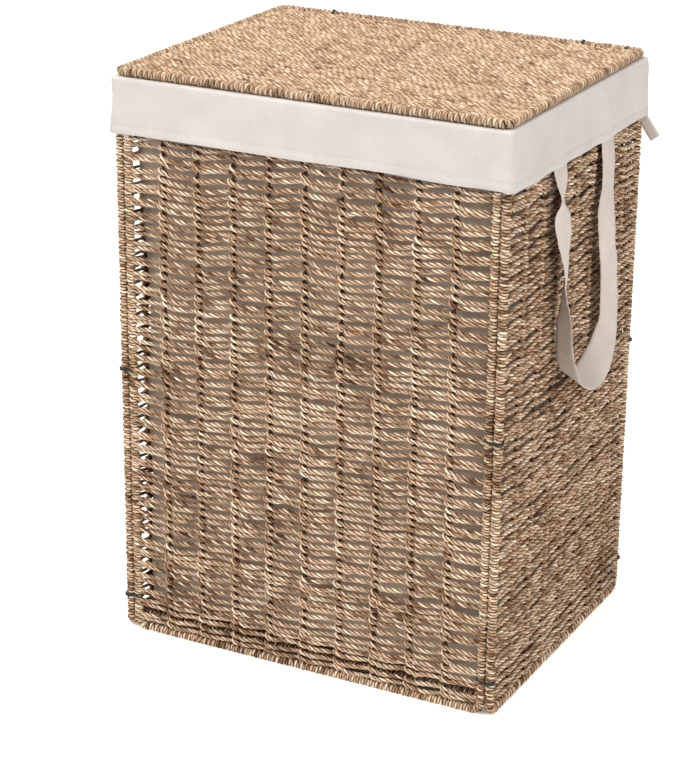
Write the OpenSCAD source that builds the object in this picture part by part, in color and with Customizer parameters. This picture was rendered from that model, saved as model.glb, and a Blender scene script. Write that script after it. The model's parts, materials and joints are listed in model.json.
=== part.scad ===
// Woven laundry basket: six corded wire panels tied together, a hinged lid,
// a cotton liner with a turned-down cuff and two soft tape handles.
// Millimetres, +Z up, origin on the floor under the middle, front towards -Y.

/* [Overall] */
// outside width of the walls, left to right
body_w = 440; // [360:1:560]
// outside depth of the walls, front to back
body_d = 350; // [280:1:460]
// height of the closed basket
body_h = 630; // [450:1:760]

/* [Wire and cord] */
// diameter of the outer wire of a panel
rim_wire_d = 3.2; // [2.4:0.1:4]
// diameter of the inner wires of a panel
rib_wire_d = 2.6; // [2:0.1:3.6]
// diameter of the cord wrapping round a panel's rim
rim_wrap_d = 8; // [6.5:0.1:10]
// diameter of the lid's rim wrapping
lid_wrap_d = 9; // [7:0.1:11]
// thickness of the woven field of a wall
weave_t = 5; // [4:0.1:6.4]
// thickness of the lid's close weave
lid_weave_t = 8; // [5:0.1:9]
// corner radius of a panel, on the wire
corner_r = 14; // [10:0.5:22]

/* [Panels] */
// gaps between ribs on the front and back
front_bays = 10; // [6:1:14]
// gaps between ribs on the sides
side_bays = 8; // [5:1:12]
// open joint between neighbouring panels
panel_gap = 1.5; // [1:0.1:3]
// height of the bottom panel's wire above the floor
floor_z = 16; // [14:0.5:20]

/* [Ties] */
// diameter of the tie wire
tie_d = 1.4; // [1:0.1:1.8]
// diameter of the wire tying the bottom panel
floor_tie_d = 1.2; // [0.8:0.1:1.4]
// height of the lowest corner tie
tie_low_z = 40; // [25:1:80]
// height of the middle corner tie
tie_mid_z = 305; // [200:1:400]
// height of the top corner tie
tie_top_z = 588; // [500:1:600]
// distance of a lid hinge loop from the middle
hinge_x = 150; // [80:1:185]
// distance of a floor tie from the middle of the front or back
floor_tie_x = 103; // [90:1:115]
// distance of a floor tie from the middle of a side
floor_tie_y = 64; // [54:1:74]

/* [Liner] */
// thickness of the liner's cloth
cloth_t = 1.4; // [0.8:0.1:2]
// corner radius of the liner's bag
bag_r = 30; // [20:1:50]
// height of the bag's floor
bag_floor_z = 22; // [15:1:40]
// height of the turned-down cuff
cuff_h = 62; // [40:1:100]
// gap between the cuff and the walls
cuff_ease = 1.3; // [1:0.1:3]

/* [Handles] */
// width of the handle tape
strap_w = 32; // [25:1:42]
// thickness of the handle tape
strap_t = 1.6; // [1:0.1:2.4]
// distance between the middles of a handle's legs
strap_span = 113; // [90:1:150]
// drop of a handle below the cuff
strap_drop = 268; // [150:1:320]
// how far a handle stands off the wall at mid height
strap_bulge = 14; // [5:1:25]
// width of the narrow tie tape
tape_w = 11; // [8:0.5:16]
// length of the narrow tie tape
tape_l = 36; // [20:1:60]

/* [Hidden] */
$fn = 64;
fit = 0.3;
bore_ease = 0.04;
rim_r = rim_wrap_d / 2;
lid_r = lid_wrap_d / 2;
rim_wire_r = rim_wire_d / 2;
rib_r = rib_wire_d / 2;
groove_floor_r = 2.1;
groove_w = 2.4;
tie_loop_r = 3.2;
tie_slot = 2.4;
floor_slot_h = 6.5;
floor_loop_r = 3.0;
side_x = body_w / 2 - rim_r;
side_hy = body_d / 2 - rim_r;
front_y = body_d / 2 - rim_r;
front_hx = body_w / 2 - rim_wrap_d - panel_gap - rim_r;
wall_z0 = rim_r - 0.1;
cuff_top = body_h - lid_wrap_d - 1.1;
wall_z1 = cuff_top - cloth_t - fit - rim_r;
lid_z = body_h - lid_r - 0.5;
lid_hx = body_w / 2 - lid_r;
floor_hx = side_x - 8.6;
floor_hy = front_y - 8.6;
cuff_z0 = cuff_top - cuff_h;
cuff_hx = body_w / 2 + cuff_ease + cloth_t;
cuff_hy = body_d / 2 + cuff_ease + cloth_t;
cuff_r = 4.4;
bag_hx = body_w / 2 - 10.5;
bag_hy = body_d / 2 - 10.7;
bag_top_z = cuff_top - 14;
strap_x = body_w / 2 + 0.8;
strap_top_z = cuff_z0 - 2.6;
strap_chord = strap_drop - 2.6;
strap_R = (strap_chord * strap_chord / 4 + strap_bulge * strap_bulge) / (2 * strap_bulge);
strap_mid_z = strap_top_z - strap_chord / 2;
tab_x = body_w / 2 - 0.7;
tape_slope = 40;

cord_c = [0.68, 0.57, 0.43];
wrap_c = [0.62, 0.51, 0.38];
lid_c = [0.80, 0.68, 0.55];
wire_c = [0.30, 0.30, 0.29];
tie_c = [0.16, 0.17, 0.15];
cloth_c = [0.90, 0.87, 0.82];
tape_c = [0.85, 0.80, 0.74];

// ---- panel shapes, drawn flat: u along X, v along Y, thickness along Z ----

// closed rounded loop of round section through (+-hu, v0..v1)
module loop(hu, v0, v1, rc, r) {
  for (v = [v0, v1])
    translate([-hu + rc, v, 0]) rotate([0, 90, 0]) cylinder(r = r, h = 2 * (hu - rc));
  for (u = [-hu, hu])
    translate([u, v0 + rc, 0]) rotate([-90, 0, 0]) cylinder(r = r, h = v1 - v0 - 2 * rc);
  for (c = [[hu - rc, v1 - rc, 0], [-hu + rc, v1 - rc, 90],
            [-hu + rc, v0 + rc, 180], [hu - rc, v0 + rc, 270]])
    translate([c[0], c[1], 0]) rotate([0, 0, c[2]])
      rotate_extrude(angle = 90) translate([rc, 0]) circle(r = r);
}

// evenly spaced ribs running along v
module ribs(hu, v0, v1, bays, r) {
  pitch = 2 * hu / bays;
  for (i = [1 : bays - 1])
    translate([-hu + i * pitch, v0, 0]) rotate([-90, 0, 0]) cylinder(r = r, h = v1 - v0);
}

module wire_frame(hu, v0, v1, bays) {
  loop(hu, v0, v1, corner_r, rim_wire_r);
  ribs(hu, v0, v1, bays, rib_r);
}

module edge_wrap(hu, v0, v1, bays, r) {
  difference() {
    loop(hu, v0, v1, corner_r, r);
    loop(hu, v0, v1, corner_r, rim_wire_r + bore_ease);
    ribs(hu, v0, v1, bays, rib_r + bore_ease);
  }
}

// flat rounded rectangle
module plate(hu, v0, v1, rc, t) {
  translate([0, 0, -t / 2]) linear_extrude(t) union() {
    translate([-hu + rc, v0]) square([2 * (hu - rc), v1 - v0]);
    translate([-hu, v0 + rc]) square([2 * hu, v1 - v0 - 2 * rc]);
    for (u = [-hu + rc, hu - rc], v = [v0 + rc, v1 - rc]) translate([u, v]) circle(r = rc);
  }
}

// woven field inside a rim, bored for the ribs
module woven_field(hu, v0, v1, bays, r, t) {
  inset = r + fit;
  difference() {
    plate(hu - inset, v0 + inset, v1 - inset, corner_r - inset, t);
    ribs(hu, v0, v1, bays, rib_r + bore_ease);
  }
}

// woven field of a wall, parted at its foot where the floor ties pass
module wall_field(hu, bays, tie_u) {
  difference() {
    woven_field(hu, wall_z0, wall_z1, bays, rim_r, weave_t);
    for (s = [-1, 1]) translate([s * tie_u - tie_slot / 2, wall_z0, -weave_t])
      cube([tie_slot, rim_r + fit + floor_slot_h, 2 * weave_t]);
  }
}

// ring cut into a wrapping where a tie bites in, axis along Z
module groove() {
  difference() {
    cylinder(r = lid_r + 1, h = groove_w, center = true);
    cylinder(r = groove_floor_r, h = groove_w + 1, center = true);
  }
}

// closed tie round two parallel wires a distance apart, in the XY plane
module tie_ring(apart, loop_r, r) {
  for (s = [-1, 1])
    translate([0, s * loop_r, 0]) rotate([0, 90, 0]) cylinder(r = r, h = apart);
  rotate([0, 0, 90]) rotate_extrude(angle = 180) translate([loop_r, 0]) circle(r = r);
  translate([apart, 0, 0]) rotate([0, 0, -90])
    rotate_extrude(angle = 180) translate([loop_r, 0]) circle(r = r);
}

// ---- places ----
module at_front() translate([0, -front_y, 0]) rotate([90, 0, 0]) children();
module at_back() translate([0, front_y, 0]) rotate([90, 0, 0]) children();
module at_right() translate([side_x, 0, 0]) rotate([90, 0, 90]) children();
module at_left() translate([-side_x, 0, 0]) rotate([90, 0, 90]) children();
module at_floor() translate([0, 0, floor_z]) children();
module at_lid() translate([0, 0, lid_z]) children();

module above_floor() {
  difference() {
    children();
    translate([-body_w, -body_d, -10]) cube([2 * body_w, 2 * body_d, 10]);
  }
}

module corner_grooves(x, y)
  for (z = [tie_low_z, tie_mid_z, tie_top_z]) translate([x, y, z]) groove();

module floor_grooves_x(y, z)
  for (s = [-1, 1]) translate([s * floor_tie_x, y, z]) rotate([0, 90, 0]) groove();

module floor_grooves_y(x, z)
  for (s = [-1, 1]) translate([x, s * floor_tie_y, z]) rotate([90, 0, 0]) groove();

module hinge_grooves(y, z)
  for (s = [-1, 1]) translate([s * hinge_x, y, z]) rotate([0, 90, 0]) groove();

// ---- walls ----
module front_wire_frame() color(wire_c) at_front() wire_frame(front_hx, wall_z0, wall_z1, front_bays);
module back_wire_frame() color(wire_c) at_back() wire_frame(front_hx, wall_z0, wall_z1, front_bays);
module left_wire_frame() color(wire_c) at_left() wire_frame(side_hy, wall_z0, wall_z1, side_bays);
module right_wire_frame() color(wire_c) at_right() wire_frame(side_hy, wall_z0, wall_z1, side_bays);

module front_edge_wrap() color(wrap_c) above_floor() difference() {
  at_front() edge_wrap(front_hx, wall_z0, wall_z1, front_bays, rim_r);
  for (s = [-1, 1]) corner_grooves(s * front_hx, -front_y);
  floor_grooves_x(-front_y, wall_z0);
}
module back_edge_wrap() color(wrap_c) above_floor() difference() {
  at_back() edge_wrap(front_hx, wall_z0, wall_z1, front_bays, rim_r);
  for (s = [-1, 1]) corner_grooves(s * front_hx, front_y);
  floor_grooves_x(front_y, wall_z0);
  hinge_grooves(front_y, wall_z1);
}
module left_edge_wrap() color(wrap_c) above_floor() difference() {
  at_left() edge_wrap(side_hy, wall_z0, wall_z1, side_bays, rim_r);
  for (s = [-1, 1]) corner_grooves(-side_x, s * side_hy);
  floor_grooves_y(-side_x, wall_z0);
}
module right_edge_wrap() color(wrap_c) above_floor() difference() {
  at_right() edge_wrap(side_hy, wall_z0, wall_z1, side_bays, rim_r);
  for (s = [-1, 1]) corner_grooves(side_x, s * side_hy);
  floor_grooves_y(side_x, wall_z0);
}

module front_weave() color(cord_c) at_front() wall_field(front_hx, front_bays, floor_tie_x);
module back_weave() color(cord_c) at_back() wall_field(front_hx, front_bays, floor_tie_x);
module left_weave() color(cord_c) at_left() wall_field(side_hy, side_bays, floor_tie_y);
module right_weave() color(cord_c) at_right() wall_field(side_hy, side_bays, floor_tie_y);

// ---- bottom panel ----
module bottom_wire_frame() color(wire_c) at_floor() wire_frame(floor_hx, -floor_hy, floor_hy, front_bays);
module bottom_edge_wrap() color(wrap_c) difference() {
  at_floor() edge_wrap(floor_hx, -floor_hy, floor_hy, front_bays, rim_r);
  for (s = [-1, 1]) {
    floor_grooves_x(s * floor_hy, floor_z);
    floor_grooves_y(s * floor_hx, floor_z);
  }
}
module bottom_weave() color(cord_c) at_floor()
  woven_field(floor_hx, -floor_hy, floor_hy, front_bays, rim_r, weave_t);

// ---- lid ----
module lid_wire_frame() color(wire_c) at_lid() wire_frame(lid_hx, -front_y, front_y, front_bays);
module lid_edge_wrap() color(wrap_c) difference() {
  at_lid() edge_wrap(lid_hx, -front_y, front_y, front_bays, lid_r);
  hinge_grooves(front_y, lid_z);
}
module lid_weave() color(lid_c) at_lid()
  woven_field(lid_hx, -front_y, front_y, front_bays, lid_r, lid_weave_t);

// ---- ties ----
module corner_ties() color(tie_c)
  for (sx = [-1, 1], sy = [-1, 1], z = [tie_low_z, tie_mid_z, tie_top_z])
    translate([sx > 0 ? front_hx : -side_x, sy * front_y, z])
      tie_ring(side_x - front_hx, tie_loop_r, tie_d / 2);

// one floor tie: from a wall's bottom rim up to the bottom panel's rim
module floor_tie() {
  rise = floor_z - wall_z0;
  run = side_x - floor_hx;
  rotate([90, 0, 0]) rotate([0, 0, 180 - atan2(rise, run)])
    tie_ring(sqrt(rise * rise + run * run), floor_loop_r, floor_tie_d / 2);
}
module bottom_ties() color(tie_c) for (a = [-1, 1]) {
  for (s = [0, 180]) rotate([0, 0, s]) translate([side_x, a * floor_tie_y, wall_z0]) floor_tie();
  for (s = [90, 270]) rotate([0, 0, s]) translate([front_y, a * floor_tie_x, wall_z0]) floor_tie();
}
module lid_hinge_loops() color(tie_c)
  for (s = [-1, 1]) translate([s * hinge_x, front_y, wall_z1]) rotate([0, -90, 0])
    tie_ring(lid_z - wall_z1, tie_loop_r, tie_d / 2);

// ---- liner ----
module upright(hx, hy, rc, z0, z1) translate([0, 0, (z0 + z1) / 2]) plate(hx, -hy, hy, rc, z1 - z0);

module liner_bag() color(cloth_c) difference() {
  upright(bag_hx, bag_hy, bag_r, bag_floor_z, bag_top_z);
  upright(bag_hx - cloth_t, bag_hy - cloth_t, bag_r - cloth_t, bag_floor_z + cloth_t, bag_top_z + 1);
}

// cloth turned over the rims and down outside, with slits for the hinge loops
module liner_cuff() color(cloth_c) difference() {
  upright(cuff_hx, cuff_hy, cuff_r, cuff_z0, cuff_top);
  upright(bag_hx - cloth_t, bag_hy - cloth_t, bag_r - cloth_t, cuff_z0 - 1, cuff_top + 1);
  difference() {
    upright(cuff_hx - cloth_t, cuff_hy - cloth_t, cuff_r - cloth_t, cuff_z0 - 1, cuff_top - cloth_t);
    upright(bag_hx, bag_hy, bag_r, bag_top_z + fit, cuff_top);
  }
  for (s = [-1, 1]) translate([s * hinge_x - 1.3, front_y - 4.6, cuff_top - 2])
    cube([2.6, 9.2, 3]);
}

// ---- handles and tapes ----
module handle_tabs() color(tape_c)
  for (s = [-1, 1], a = [-1, 1])
    translate([s * tab_x - strap_t / 2, a * strap_span / 2 - strap_w / 2, cuff_z0 + 0.6])
      cube([strap_t, strap_w, 20]);

// outline of the hanging loop of tape, drawn in the YZ plane
module strap_outline() {
  mid = strap_span / 2;
  out_r = mid + strap_w / 2;
  in_r = mid - strap_w / 2;
  arc_z = strap_top_z - strap_chord + out_r;
  for (a = [-1, 1]) translate([a * mid - strap_w / 2, arc_z]) square([strap_w, strap_top_z - arc_z]);
  translate([0, arc_z]) difference() {
    circle(r = out_r);
    circle(r = in_r);
    translate([-out_r - 1, 0]) square([2 * out_r + 2, out_r + 1]);
  }
}
module strap() intersection() {
  translate([strap_x - 20, 0, 0]) rotate([90, 0, 90]) linear_extrude(60) strap_outline();
  translate([strap_x + strap_bulge - strap_R, 0, strap_mid_z]) rotate([90, 0, 0]) difference() {
    cylinder(r = strap_R + strap_t / 2, h = 300, center = true, $fn = 720);
    cylinder(r = strap_R - strap_t / 2, h = 310, center = true, $fn = 720);
  }
}
module handle_strap_right() color(tape_c) strap();
module handle_strap_left() color(tape_c) mirror([1, 0, 0]) strap();

// stands out from under the cuff beside the back corner, sloping down
module tape() intersection() {
  translate([body_w / 2 + cuff_ease, body_d / 2 - 6, cuff_z0])
    rotate([0, tape_slope, 0]) translate([-tape_w, 0, -tape_w]) cube([tape_l + tape_w, 1, tape_w]);
  translate([body_w / 2 + fit, body_d / 2 - 10, cuff_z0 - fit - 2 * tape_l])
    cube([2 * tape_l, 10, 2 * tape_l]);
}
module tie_tape_right() color(tape_c) tape();
module tie_tape_left() color(tape_c) mirror([1, 0, 0]) tape();

front_wire_frame();
front_edge_wrap();
front_weave();
back_wire_frame();
back_edge_wrap();
back_weave();
left_wire_frame();
left_edge_wrap();
left_weave();
right_wire_frame();
right_edge_wrap();
right_weave();
bottom_wire_frame();
bottom_edge_wrap();
bottom_weave();
lid_wire_frame();
lid_edge_wrap();
lid_weave();
corner_ties();
bottom_ties();
lid_hinge_loops();
liner_bag();
liner_cuff();
handle_tabs();
handle_strap_right();
handle_strap_left();
tie_tape_right();
tie_tape_left();
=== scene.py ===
import json
import math

import bpy
import numpy as np
from mathutils import Matrix, Vector


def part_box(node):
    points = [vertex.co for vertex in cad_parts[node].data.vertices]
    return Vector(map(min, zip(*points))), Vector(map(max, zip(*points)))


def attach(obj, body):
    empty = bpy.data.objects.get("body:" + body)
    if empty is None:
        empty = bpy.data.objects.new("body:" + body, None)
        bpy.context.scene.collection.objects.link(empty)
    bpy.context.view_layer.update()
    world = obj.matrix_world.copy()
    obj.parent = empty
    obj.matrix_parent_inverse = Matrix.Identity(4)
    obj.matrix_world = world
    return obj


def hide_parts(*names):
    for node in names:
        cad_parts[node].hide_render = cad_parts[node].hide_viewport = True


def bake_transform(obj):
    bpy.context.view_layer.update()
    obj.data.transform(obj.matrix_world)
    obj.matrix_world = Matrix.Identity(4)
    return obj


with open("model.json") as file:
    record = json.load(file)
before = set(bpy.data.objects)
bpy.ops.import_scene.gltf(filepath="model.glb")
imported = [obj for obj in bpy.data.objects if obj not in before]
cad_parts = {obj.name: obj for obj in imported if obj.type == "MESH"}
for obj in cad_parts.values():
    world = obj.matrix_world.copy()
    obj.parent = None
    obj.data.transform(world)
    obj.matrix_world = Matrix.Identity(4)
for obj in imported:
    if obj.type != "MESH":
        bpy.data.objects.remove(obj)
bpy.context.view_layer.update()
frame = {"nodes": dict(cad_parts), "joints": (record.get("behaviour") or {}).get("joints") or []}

MM = 0.001  # all lengths are in metres, unless a name or a comment says otherwise

# ---------------- camera and light

TARGET = Vector((0.0174, -0.1288, 0.315))
DISTANCE = 2.466
AZIMUTH = math.radians(27.54)
ELEVATION = math.radians(21.01)
ROLL = math.radians(0.53)
LENS = 112.3
SENSOR_WIDTH = 36
FAR_CLIP = 50

WORLD_LIGHT = 0.38
FLOOR_HALF = 6.0
FLOOR_GLOW = 0.46
HORIZON_GLOW = 0.45
SHADOW_X = 0.220
SHADOW_Y = 0.175


def add(name, data):
    obj = bpy.data.objects.new(name, data)
    bpy.context.scene.collection.objects.link(obj)
    return obj


def make_camera():
    back = Vector((math.sin(AZIMUTH) * math.cos(ELEVATION),
                   -math.cos(AZIMUTH) * math.cos(ELEVATION), math.sin(ELEVATION)))
    side = Vector((0, 0, 1)).cross(back).normalized()
    rise = back.cross(side)
    right = side * math.cos(ROLL) + rise * math.sin(ROLL)
    up = rise * math.cos(ROLL) - side * math.sin(ROLL)
    data = bpy.data.cameras.new("camera")
    data.lens = LENS
    data.sensor_width = SENSOR_WIDTH
    data.clip_end = FAR_CLIP
    cam = add("camera", data)
    turn = Matrix((right, up, back)).transposed().to_4x4()
    cam.matrix_world = Matrix.Translation(TARGET + back * DISTANCE) @ turn
    bpy.context.scene.camera = cam


def area_light(name, place, aim, width, power, tint=(1, 1, 1)):
    data = bpy.data.lights.new(name, "AREA")
    data.size = width
    data.energy = power
    data.color = tint
    lamp = add(name, data)
    lamp.location = place
    lamp.rotation_euler = (Vector(aim) - Vector(place)).to_track_quat("-Z", "Y").to_euler()


def make_world():
    """White behind the basket for the camera, and a dimmer white as light."""
    world = bpy.data.worlds.new("studio")
    world.use_nodes = True
    t = world.node_tree
    shown, lit = t.nodes["Background"], t.nodes.new("ShaderNodeBackground")
    for node, strength in ((shown, 1.0), (lit, WORLD_LIGHT)):
        node.inputs["Color"].default_value = (1, 1, 1, 1)
        node.inputs["Strength"].default_value = strength
    rays, mix = t.nodes.new("ShaderNodeLightPath"), t.nodes.new("ShaderNodeMixShader")
    t.links.new(rays.outputs["Is Camera Ray"], mix.inputs["Fac"])
    t.links.new(lit.outputs[0], mix.inputs[1])
    t.links.new(shown.outputs[0], mix.inputs[2])
    t.links.new(mix.outputs[0], t.nodes["World Output"].inputs["Surface"])
    bpy.context.scene.world = world


def make_studio():
    """Three soft lights and a floor that glows, save beneath the basket."""
    make_world()
    area_light("top", (-0.3, -0.3, 2.6), (0, 0, 0.5), 2.0, 62, (1, 0.985, 0.96))
    area_light("key", (-1.1, -2.2, 2.5), (0, 0, 0.3), 1.3, 44, (1, 0.98, 0.95))
    area_light("fill", (2.5, -1.1, 1.8), (0, 0, 0.3), 1.5, 42, (1, 0.985, 0.97))
    mesh = bpy.data.meshes.new("floor")
    corners = [(x * FLOOR_HALF, y * FLOOR_HALF, 0) for x, y in ((-1, -1), (1, -1), (1, 1), (-1, 1))]
    mesh.from_pydata(corners, [], [(0, 1, 2, 3)])
    floor = add("floor", mesh)
    look = Look("floor_white", (0.85, 0.85, 0.85), 0.9)
    look.bsdf.inputs["Emission Color"].default_value = (1, 1, 1, 1)
    x, y, _ = look.split(look.object())
    beside = look.math("MAXIMUM", look.math("SUBTRACT", look.math("ABSOLUTE", x), SHADOW_X),
                       look.math("SUBTRACT", look.math("ABSOLUTE", y), SHADOW_Y))
    glow = look.math("ADD", look.span(beside, -0.02, 0.0, 0.0, FLOOR_GLOW),
                     look.span(beside, 0.8, 4.0, 0.0, HORIZON_GLOW))
    look.feed(glow, look.bsdf.inputs["Emission Strength"])
    floor.data.materials.append(look.material)


# ---------------- materials

class Look:
    """A Principled material with short helpers for its nodes."""

    def __init__(self, name, color, rough, metallic=0.0, specular=0.3):
        self.material = bpy.data.materials.new(name)
        self.material.use_nodes = True
        self.material.diffuse_color = (*color, 1)
        self.tree = self.material.node_tree
        self.bsdf = self.tree.nodes["Principled BSDF"]
        self.bsdf.inputs["Base Color"].default_value = (*color, 1)
        self.bsdf.inputs["Roughness"].default_value = rough
        self.bsdf.inputs["Metallic"].default_value = metallic
        self.bsdf.inputs["Specular IOR Level"].default_value = specular

    def node(self, kind, **inputs):
        made = self.tree.nodes.new("ShaderNode" + kind)
        for key, value in inputs.items():
            socket = made.inputs[int(key[1:])] if key[0] == "i" and key[1:].isdigit() \
                else made.inputs[key]
            self.feed(value, socket)
        return made

    def feed(self, value, socket):
        if isinstance(value, bpy.types.NodeSocket):
            self.tree.links.new(value, socket)
        else:
            socket.default_value = value

    def math(self, how, a, b=0.0, c=None, clamp=False):
        made = self.tree.nodes.new("ShaderNodeMath")
        made.operation, made.use_clamp = how, clamp
        self.feed(a, made.inputs[0])
        self.feed(b, made.inputs[1])
        if c is not None:
            self.feed(c, made.inputs[2])
        return made.outputs[0]

    def span(self, value, a, b, c, d):
        """The value's place between a and b, mapped to c and d and held there."""
        return self.node("MapRange", i0=value, i1=a, i2=b, i3=c, i4=d).outputs[0]

    def split(self, vector):
        return self.node("SeparateXYZ", Vector=vector).outputs[:]

    def noise(self, vector, scale, detail=2.0, rough=0.5):
        return self.node("TexNoise", Vector=vector, Scale=scale, Detail=detail,
                         Roughness=rough).outputs[0]

    def place(self, vector, scale):
        return self.node("Mapping", Vector=vector, Scale=scale).outputs[0]

    def ramp(self, value, stops):
        made = self.node("ValToRGB", Fac=value)
        while len(made.color_ramp.elements) < len(stops):
            made.color_ramp.elements.new(1)
        for element, (at, color) in zip(made.color_ramp.elements, stops):
            element.position, element.color = at, (*color, 1)
        return made.outputs[0]

    def mix(self, how, fac, a, b):
        made = self.tree.nodes.new("ShaderNodeMix")
        made.data_type, made.blend_type = "RGBA", how
        self.feed(fac, made.inputs[0])
        for value, socket in ((a, made.inputs[6]), (b, made.inputs[7])):
            self.feed((*value, 1) if isinstance(value, tuple) else value, socket)
        return made.outputs[2]

    def tone(self, color, value):
        return self.node("HueSaturation", Color=color, Value=value).outputs[0]

    def uv(self, layer):
        made = self.tree.nodes.new("ShaderNodeUVMap")
        made.uv_map = layer
        return made.outputs[0]

    def object(self):
        return self.tree.nodes.new("ShaderNodeTexCoord").outputs["Object"]

    def color(self, value):
        self.feed(value, self.bsdf.inputs["Base Color"])

    def bump(self, height, strength, distance):
        made = self.node("Bump", Height=height, Strength=strength, Distance=distance)
        self.feed(made.outputs[0], self.bsdf.inputs["Normal"])


# straw colours from a deep cleft to a bleached blade: place on the ramp, linear colour
STRAW = [(0.26, (0.060, 0.026, 0.012)), (0.36, (0.200, 0.104, 0.056)),
         (0.44, (0.400, 0.250, 0.150)), (0.52, (0.600, 0.410, 0.270)),
         (0.61, (0.800, 0.600, 0.425)), (0.74, (0.960, 0.800, 0.610))]
MIDDLE_SHADE = 0.52
GREENISH = (0.84, 0.92, 0.70)
REDDISH = (1.0, 0.82, 0.66)
# painted shade colour for the parts of a cord that lie in behind others
TUCK_SHADE_TINT = (0.30, 0.18, 0.11)
SIDEWAYS_PAINTED_SHADE = 0.50


def straw(name, gain=1.0, warm=0.0, cleft_shade_value=0.05, patchy=0.30, contrast=0.85):
    """Twisted seagrass: plies of flat blades, each with its own colour and fine fibres,
    with painted shade in the clefts between plies; the "open_air" value of a cord is low where it
    lies in behind others, and there the cord gets painted shade, darker and browner."""
    k = Look(name, (0.50, 0.35, 0.21), 0.8, specular=0.08)
    uv = k.uv("cord")
    along, round_it, _ = k.split(uv)
    turn = k.math("MULTIPLY", round_it, PLIES)
    ply = k.math("FLOOR", k.math("MODULO", k.math("ADD", turn, 0.5), PLIES))
    mark = k.node("CombineXYZ", X=k.math("MULTIPLY", along, 42), Y=k.math("MULTIPLY", ply, 7.3))
    blade = k.noise(mark.outputs[0], 1, 1.0)
    fibre = k.noise(k.place(uv, (60, 20, 1)), 1, 3.0, 0.6)
    patch = k.noise(k.object(), 14, 2.0)
    shade = MIDDLE_SHADE
    for value, share in ((blade, contrast), (patch, patchy), (fibre, 0.18)):
        shade = k.math("MULTIPLY_ADD", k.math("SUBTRACT", value, 0.5), share, shade)
    base = k.ramp(shade, STRAW)
    hue = k.noise(k.place(uv, (11, 1.0, 1)), 1, 1.0)
    green = k.span(hue, 0.32, 0.44, 0.40, 0.0)
    red = k.span(hue, 0.56, 0.72, 0.0, 0.50 + warm)
    base = k.mix("MULTIPLY", green, base, GREENISH)
    base = k.mix("MULTIPLY", red, base, REDDISH)
    # painted shade: the value drops to its lowest in the clefts between plies
    near = k.math("ABSOLUTE", k.math("SUBTRACT", k.math("FRACT", turn), 0.5))
    cleft = k.span(near, 0.04, 0.34, cleft_shade_value, gain)
    open_air = k.node("Attribute")
    open_air.attribute_name = "open_air"
    # painted shade where the cord lies in behind others
    tuck_shade = k.math("SUBTRACT", 1.0, open_air.outputs["Fac"], clamp=True)
    base = k.mix("MULTIPLY", tuck_shade, base, TUCK_SHADE_TINT)
    k.color(k.tone(base, k.math("MULTIPLY_ADD", tuck_shade, 0.30, cleft)))
    k.bump(fibre, 0.4, 0.0002)
    return k.material


def cloth(name, color, thread=0.0011, slub=0.5, gain=0.06, sheen=0.1, outside=None):
    """Plain woven cotton-linen with uneven threads; "outside" tints the faces turned away
    from the basket's middle as painted shade, since they lie behind the weave, and these faces get
    more painted shade still where they face sideways."""
    k = Look(name, color, 0.86, specular=0.15)
    uv = k.uv("cloth")
    turns = math.pi / thread
    x, y, _ = k.split(uv)
    weft = k.math("SINE", k.math("MULTIPLY", y, turns))
    warp = k.math("SINE", k.math("MULTIPLY", x, turns))
    grid = k.math("MULTIPLY", weft, warp)
    along = k.noise(k.place(uv, (45, 900, 1)), 1, 2.0)
    across = k.noise(k.place(uv, (900, 45, 1)), 1, 2.0)
    yarn = k.math("MULTIPLY", k.math("SUBTRACT", k.math("ADD", along, across), 1.0), slub)
    soft = k.noise(k.object(), 24, 3.0)
    tone = k.math("ADD", k.math("MULTIPLY", yarn, gain * 4), k.math("MULTIPLY", grid, gain * 0.3))
    tone = k.math("ADD", tone, k.span(soft, 0.3, 0.7, 0.94, 1.06))
    away = 0.0
    # painted shade on the outer faces, darker and browner, more so where they face sideways
    if outside:
        normal = k.node("NewGeometry").outputs["Normal"]
        facing = k.node("VectorMath", i0=normal, i1=k.object())
        facing.operation = "DOT_PRODUCT"
        away = k.span(facing.outputs["Value"], 0.0, 0.05, 0.0, 1.0)
        sideways = k.math("ABSOLUTE", k.split(normal)[0])
        sideways = k.math("MULTIPLY", away, sideways)
        shade = k.math("MULTIPLY_ADD", sideways, -SIDEWAYS_PAINTED_SHADE, 1.0)
        tone = k.math("MULTIPLY", tone, shade)
    k.color(k.tone(k.mix("MULTIPLY", away, color, outside or (1, 1, 1)), tone))
    k.bump(k.math("ADD", k.math("MULTIPLY", grid, 0.3), yarn), 0.35, 0.0004)
    k.bsdf.inputs["Sheen Weight"].default_value = sheen
    k.bsdf.inputs["Sheen Roughness"].default_value = 0.5
    return k.material


def painted_wire(name, color, rough):
    """Dark painted wire, worn in spots to a brighter tone."""
    k = Look(name, color, rough, metallic=0.5, specular=0.5)
    worn = k.noise(k.object(), 260, 3.0, 0.6)
    k.color(k.ramp(worn, [(0.35, tuple(c * 0.6 for c in color)), (0.62, color),
                          (0.80, tuple(min(1, c * 2.2) for c in color))]))
    k.bump(worn, 0.3, 0.0003)
    return k.material


# ---------------- cord geometry

# a cord's cross-section: three points for each ply, its crown and a cleft on either side
PLIES = 3
SIDES = 3 * PLIES
LOBE = np.arange(SIDES) * 2 * math.pi / SIDES
RHO = np.array([1.0, 0.74, 0.74] * PLIES)
LAY = 21 * MM  # length of one full turn of the twist
STEP = 1.5 * MM  # distance between two rings of a cord
STRIP_SHAPE = 9.0  # rings in a strip of the bake sheet, for each strip it has
STRIP_EDGE = 0.08  # share of a strip left free on each side
GROUND = 0.1 * MM  # nothing goes lower than this


def unit(v):
    return v / np.maximum(np.linalg.norm(v, axis=-1, keepdims=True), 1e-12)


def length_along(points):
    return np.r_[0, np.cumsum(np.linalg.norm(np.diff(points, axis=0), axis=1))]


def at(distances, s, rows):
    """Rows at some distances along a line whose own rows lie at the distances s."""
    return np.column_stack([np.interp(distances, s, c) for c in rows.T])


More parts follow.
